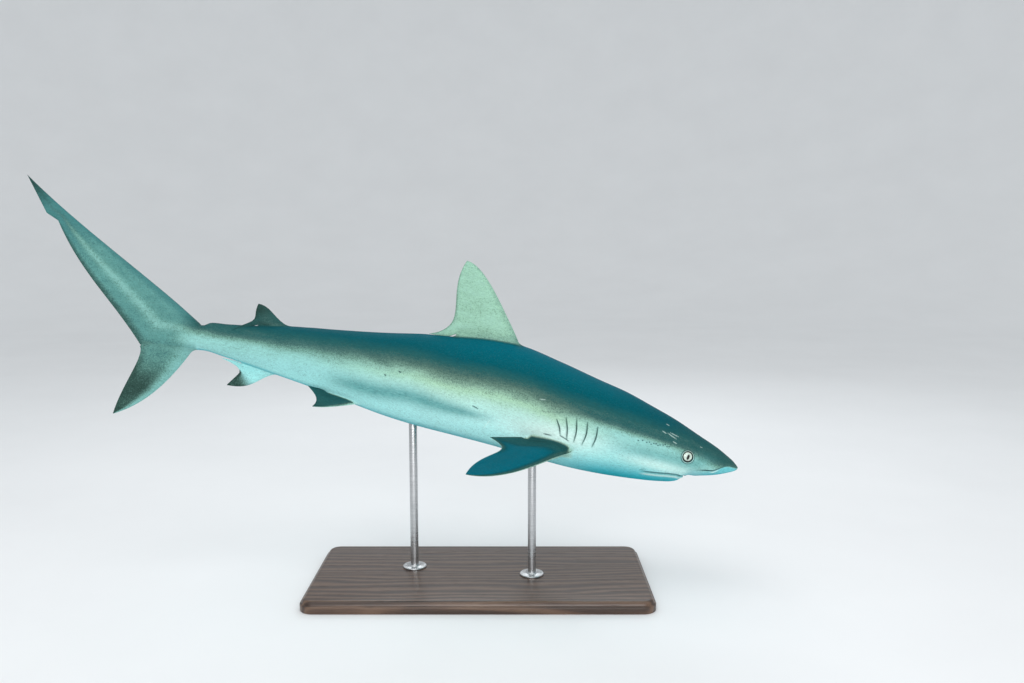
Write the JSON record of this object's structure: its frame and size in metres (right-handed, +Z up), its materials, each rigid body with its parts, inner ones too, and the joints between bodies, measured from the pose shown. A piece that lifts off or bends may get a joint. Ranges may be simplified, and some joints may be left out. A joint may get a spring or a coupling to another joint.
{
  "type": "reef shark",
  "caption": "Life-size still model of a Caribbean reef shark gliding nose-down in a gentle bend, held over a flat wooden base by steel rods.",
  "frame": {"origin": "centre of the underside of the stand's base, on the floor", "axes": "+X the way the shark heads, -Y the side its right flank faces, +Z up"},
  "size_m": [1.8067, 0.8018, 1.0884],
  "materials": {
    "skin": "satin cast resin, painted: dark teal-grey back, olive band, pale flank and near-white belly",
    "eye": "glossy, pale silvery iris, dark rim and black slit pupil",
    "base_wood": "dark stained wood, satin",
    "steel": "brushed steel"
  },
  "bodies": {
    "root": {"head": "skin", "lower_jaw": "skin", "gill_region": "skin", "trunk_front": "skin", "trunk_rear": "skin", "tail_stalk": "skin", "dorsal_fin_first": "skin", "dorsal_fin_second": "skin", "anal_fin": "skin", "pectoral_fin_left": "skin", "pectoral_fin_right": "skin", "pelvic_fin_left": "skin", "pelvic_fin_right": "skin", "caudal_fin_upper": "skin", "caudal_fin_lower": "skin", "eye_left": "eye", "eye_right": "eye", "stand_base": "base_wood", "stand_rod_front": "steel", "stand_rod_rear": "steel", "stand_flange_front": "steel", "stand_flange_rear": "steel"}
  },
  "joints": []
}
